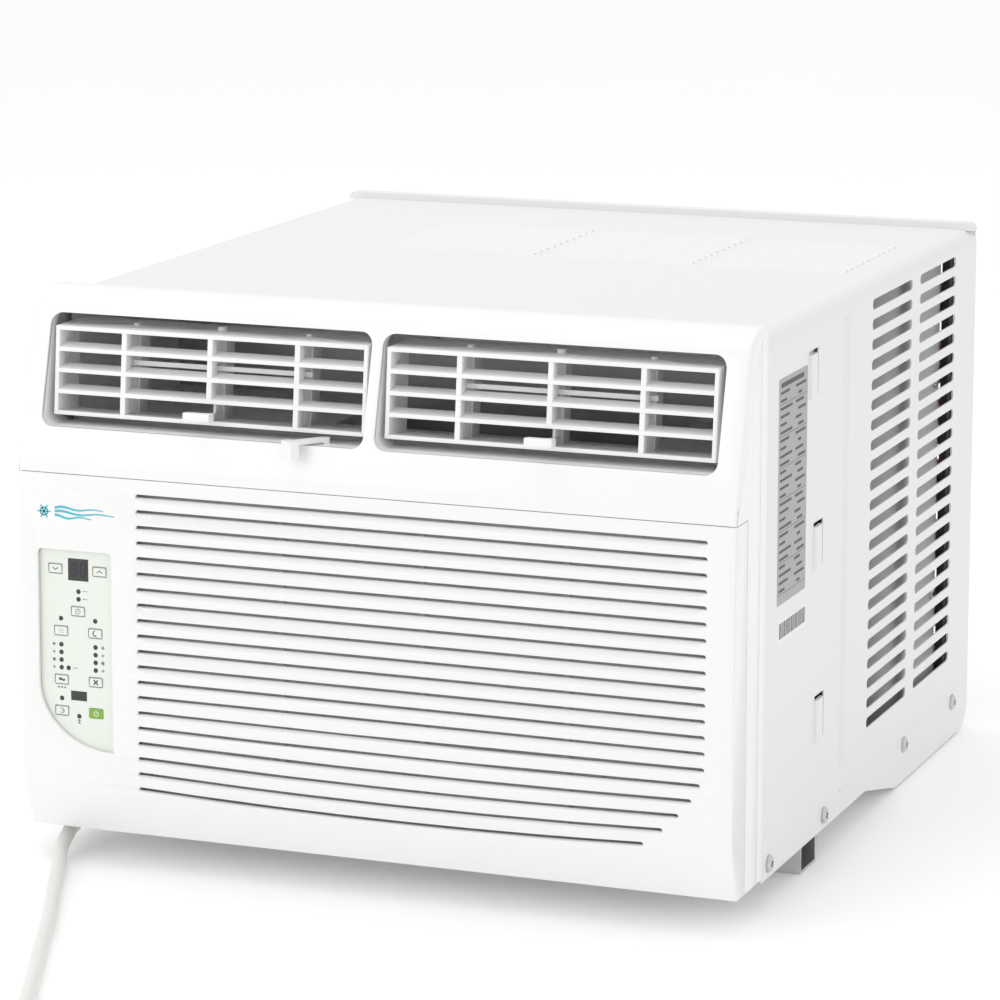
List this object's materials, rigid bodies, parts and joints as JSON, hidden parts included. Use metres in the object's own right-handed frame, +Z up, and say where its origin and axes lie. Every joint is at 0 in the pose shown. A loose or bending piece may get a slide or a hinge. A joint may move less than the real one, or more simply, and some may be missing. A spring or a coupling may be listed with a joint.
{
  "type": "window air conditioner",
  "caption": "Window air conditioner: white moulded front with twin louvred outlets, slotted intake grille and key panel, on a steel cabinet with side vents and a mains lead.",
  "frame": {"origin": "on the standing surface, under the middle of the unit's box without its mains lead", "axes": "+Z up, the front faces -Y, +X to the right of someone facing the front"},
  "size_m": [0.486, 0.9667, 0.37],
  "materials": {
    "cabinet_paint": "satin white powder coat",
    "pan_paint": "satin white powder coat",
    "panel_plastic": "moulded white, low gloss",
    "louvre_plastic": "moulded white",
    "filter_plastic": "grey moulded",
    "filter_mesh": "woven mesh",
    "housing_plastic": "moulded",
    "overlay_film": "printed film, fine grain",
    "key_film": "printed film key",
    "power_key": "green printed film key",
    "display_smoke": "smoked window",
    "lamp_smoke": "smoked lamp lens",
    "circuit_board": "solder mask",
    "fin_aluminium": "thin fins",
    "copper": "drawn copper tube",
    "galvanised": "galvanised sheet",
    "screw_steel": "zinc plated",
    "duct_foam": "moulded bead foam",
    "shroud_plastic": "moulded",
    "fan_plastic": "moulded black",
    "shaft_steel": "ground",
    "motor_steel": "black paint",
    "black_paint": "gloss black",
    "rubber": "moulded",
    "capacitor_can": "drawn can",
    "cord_sheath": "off-white soft sheath",
    "plug_plastic": "moulded off-white"
  },
  "bodies": {
    "case": {"cabinet": "cabinet_paint", "base_pan": "pan_paint", "sill_channel": "pan_paint", "front_panel": "panel_plastic", "control_housing": "housing_plastic", "control_overlay": "overlay_film", "display_windows": "display_smoke", "indicator_lamps": "lamp_smoke", "display_board": "circuit_board", "evaporator_fins": "fin_aluminium", "condenser_fins": "fin_aluminium", "evaporator_tubes": "copper", "condenser_tubes": "copper", "refrigerant_lines": "copper", "capillary_tube": "copper", "evaporator_end_plates": "galvanised", "condenser_end_plates": "galvanised", "bulkhead": "galvanised", "motor_bracket": "galvanised", "control_box": "galvanised", "compressor_bolts": "galvanised", "case_screws": "screw_steel", "blower_scroll": "duct_foam", "condenser_shroud": "shroud_plastic", "fan_motor": "motor_steel", "compressor": "black_paint", "accumulator": "black_paint", "compressor_grommets": "rubber", "run_capacitor": "capacitor_can", "cord_strain_relief": "cord_sheath", "power_cord": "cord_sheath", "cord_coil": "cord_sheath", "power_plug": "plug_plastic"},
    "grille": {"intake_grille": "panel_plastic", "filter_frame": "filter_plastic", "filter_mesh": "filter_mesh"},
    "left_louvre": {"left_louvre_frame": "louvre_plastic"},
    "right_louvre": {"right_louvre_frame": "louvre_plastic"},
    "vent_lever": {"vent_lever": "louvre_plastic"},
    "vent_door": {"vent_door": "louvre_plastic"},
    "fan_rotor": {"blower_wheel": "fan_plastic", "axial_fan": "fan_plastic", "motor_shaft": "shaft_steel"},
    "left_vane_1": {"left_vane_1": "louvre_plastic"},
    "left_vane_2": {"left_vane_2": "louvre_plastic"},
    "left_vane_3": {"left_vane_3": "louvre_plastic"},
    "left_vane_link": {"left_vane_link": "louvre_plastic"},
    "right_vane_1": {"right_vane_1": "louvre_plastic"},
    "right_vane_2": {"right_vane_2": "louvre_plastic"},
    "right_vane_3": {"right_vane_3": "louvre_plastic"},
    "right_vane_link": {"right_vane_link": "louvre_plastic"},
    "key_temp_down": {"key_temp_down": "key_film"},
    "key_temp_up": {"key_temp_up": "key_film"},
    "key_timer": {"key_timer": "key_film"},
    "key_energy": {"key_energy": "key_film"},
    "key_sleep": {"key_sleep": "key_film"},
    "key_mode": {"key_mode": "key_film"},
    "key_fan": {"key_fan": "key_film"},
    "key_saver": {"key_saver": "key_film"},
    "key_power": {"key_power": "power_key"}
  },
  "joints": [
    {"name": "grille_hinge", "type": "hinge", "parent": "case", "child": "grille", "pos_m": [0, -0.254, 0.0245], "axis": [1, 0, 0], "range_deg": [0, 60]},
    {"name": "left_louvre_tilt", "type": "hinge", "parent": "case", "child": "left_louvre", "pos_m": [-0.115, -0.235, 0.3183], "axis": [1, 0, 0], "range_deg": [-20, 20]},
    {"name": "right_louvre_tilt", "type": "hinge", "parent": "case", "child": "right_louvre", "pos_m": [0.114, -0.235, 0.3183], "axis": [1, 0, 0], "range_deg": [-20, 20]},
    {"name": "vent_lever_turn", "type": "hinge", "parent": "case", "child": "vent_lever", "pos_m": [-0.02, -0.232, 0.281], "axis": [0, 0, 1], "range_deg": [0, 35]},
    {"name": "vent_door_swing", "type": "hinge", "parent": "case", "child": "vent_door", "pos_m": [-0.07, -0.0527, 0.352], "axis": [-1, 0, 0], "range_deg": [0, 30]},
    {"name": "fan_spin", "type": "hinge", "parent": "case", "child": "fan_rotor", "pos_m": [0.03, 0, 0.149], "axis": [0, 1, 0], "continuous": true},
    {"name": "left_vane_1_swing", "type": "hinge", "parent": "left_louvre", "child": "left_vane_1", "pos_m": [-0.175, -0.22804, 0.31757], "axis": [0, 0.1045, 0.9945], "range_deg": [-25, 25]},
    {"name": "left_vane_2_swing", "type": "hinge", "parent": "left_louvre", "child": "left_vane_2", "pos_m": [-0.115, -0.22804, 0.31757], "axis": [0, 0.1045, 0.9945], "range_deg": [-25, 25]},
    {"name": "left_vane_3_swing", "type": "hinge", "parent": "left_louvre", "child": "left_vane_3", "pos_m": [-0.055, -0.22804, 0.31757], "axis": [0, 0.1045, 0.9945], "range_deg": [-25, 25]},
    {"name": "left_vane_link_turn", "type": "hinge", "parent": "left_vane_2", "child": "left_vane_link", "pos_m": [-0.115, -0.23749, 0.31856], "axis": [0, 0.1045, 0.9945], "range_deg": [-25, 25]},
    {"name": "right_vane_1_swing", "type": "hinge", "parent": "right_louvre", "child": "right_vane_1", "pos_m": [0.054, -0.22804, 0.31757], "axis": [0, 0.1045, 0.9945], "range_deg": [-25, 25]},
    {"name": "right_vane_2_swing", "type": "hinge", "parent": "right_louvre", "child": "right_vane_2", "pos_m": [0.114, -0.22804, 0.31757], "axis": [0, 0.1045, 0.9945], "range_deg": [-25, 25]},
    {"name": "right_vane_3_swing", "type": "hinge", "parent": "right_louvre", "child": "right_vane_3", "pos_m": [0.174, -0.22804, 0.31757], "axis": [0, 0.1045, 0.9945], "range_deg": [-25, 25]},
    {"name": "right_vane_link_turn", "type": "hinge", "parent": "right_vane_2", "child": "right_vane_link", "pos_m": [0.114, -0.23749, 0.31856], "axis": [0, 0.1045, 0.9945], "range_deg": [-25, 25]},
    {"name": "key_temp_down_press", "type": "slide", "parent": "case", "child": "key_temp_down", "axis": [0, 0.9998, -0.0216], "range_m": [0, 0.0005], "stiffness_N_per_m": 800},
    {"name": "key_temp_up_press", "type": "slide", "parent": "case", "child": "key_temp_up", "axis": [0, 0.9998, -0.0216], "range_m": [0, 0.0005], "stiffness_N_per_m": 800},
    {"name": "key_timer_press", "type": "slide", "parent": "case", "child": "key_timer", "axis": [0, 0.9998, -0.0216], "range_m": [0, 0.0005], "stiffness_N_per_m": 800},
    {"name": "key_energy_press", "type": "slide", "parent": "case", "child": "key_energy", "axis": [0, 0.9998, -0.0216], "range_m": [0, 0.0005], "stiffness_N_per_m": 800},
    {"name": "key_sleep_press", "type": "slide", "parent": "case", "child": "key_sleep", "axis": [0, 0.9998, -0.0216], "range_m": [0, 0.0005], "stiffness_N_per_m": 800},
    {"name": "key_mode_press", "type": "slide", "parent": "case", "child": "key_mode", "axis": [0, 0.9998, -0.0216], "range_m": [0, 0.0005], "stiffness_N_per_m": 800},
    {"name": "key_fan_press", "type": "slide", "parent": "case", "child": "key_fan", "axis": [0, 0.9998, -0.0216], "range_m": [0, 0.0005], "stiffness_N_per_m": 800},
    {"name": "key_saver_press", "type": "slide", "parent": "case", "child": "key_saver", "axis": [0, 0.9998, -0.0216], "range_m": [0, 0.0005], "stiffness_N_per_m": 800},
    {"name": "key_power_press", "type": "slide", "parent": "case", "child": "key_power", "axis": [0, 0.9998, -0.0216], "range_m": [0, 0.0005], "stiffness_N_per_m": 800}
  ],
  "couplings": [
    {"joint": "vent_door_swing", "follows": "vent_lever_turn", "ratio": 0.85714},
    {"joint": "left_vane_1_swing", "follows": "left_vane_2_swing", "ratio": 1},
    {"joint": "left_vane_3_swing", "follows": "left_vane_2_swing", "ratio": 1},
    {"joint": "left_vane_link_turn", "follows": "left_vane_2_swing", "ratio": -1},
    {"joint": "right_vane_1_swing", "follows": "right_vane_2_swing", "ratio": 1},
    {"joint": "right_vane_3_swing", "follows": "right_vane_2_swing", "ratio": 1},
    {"joint": "right_vane_link_turn", "follows": "right_vane_2_swing", "ratio": -1}
  ]
}
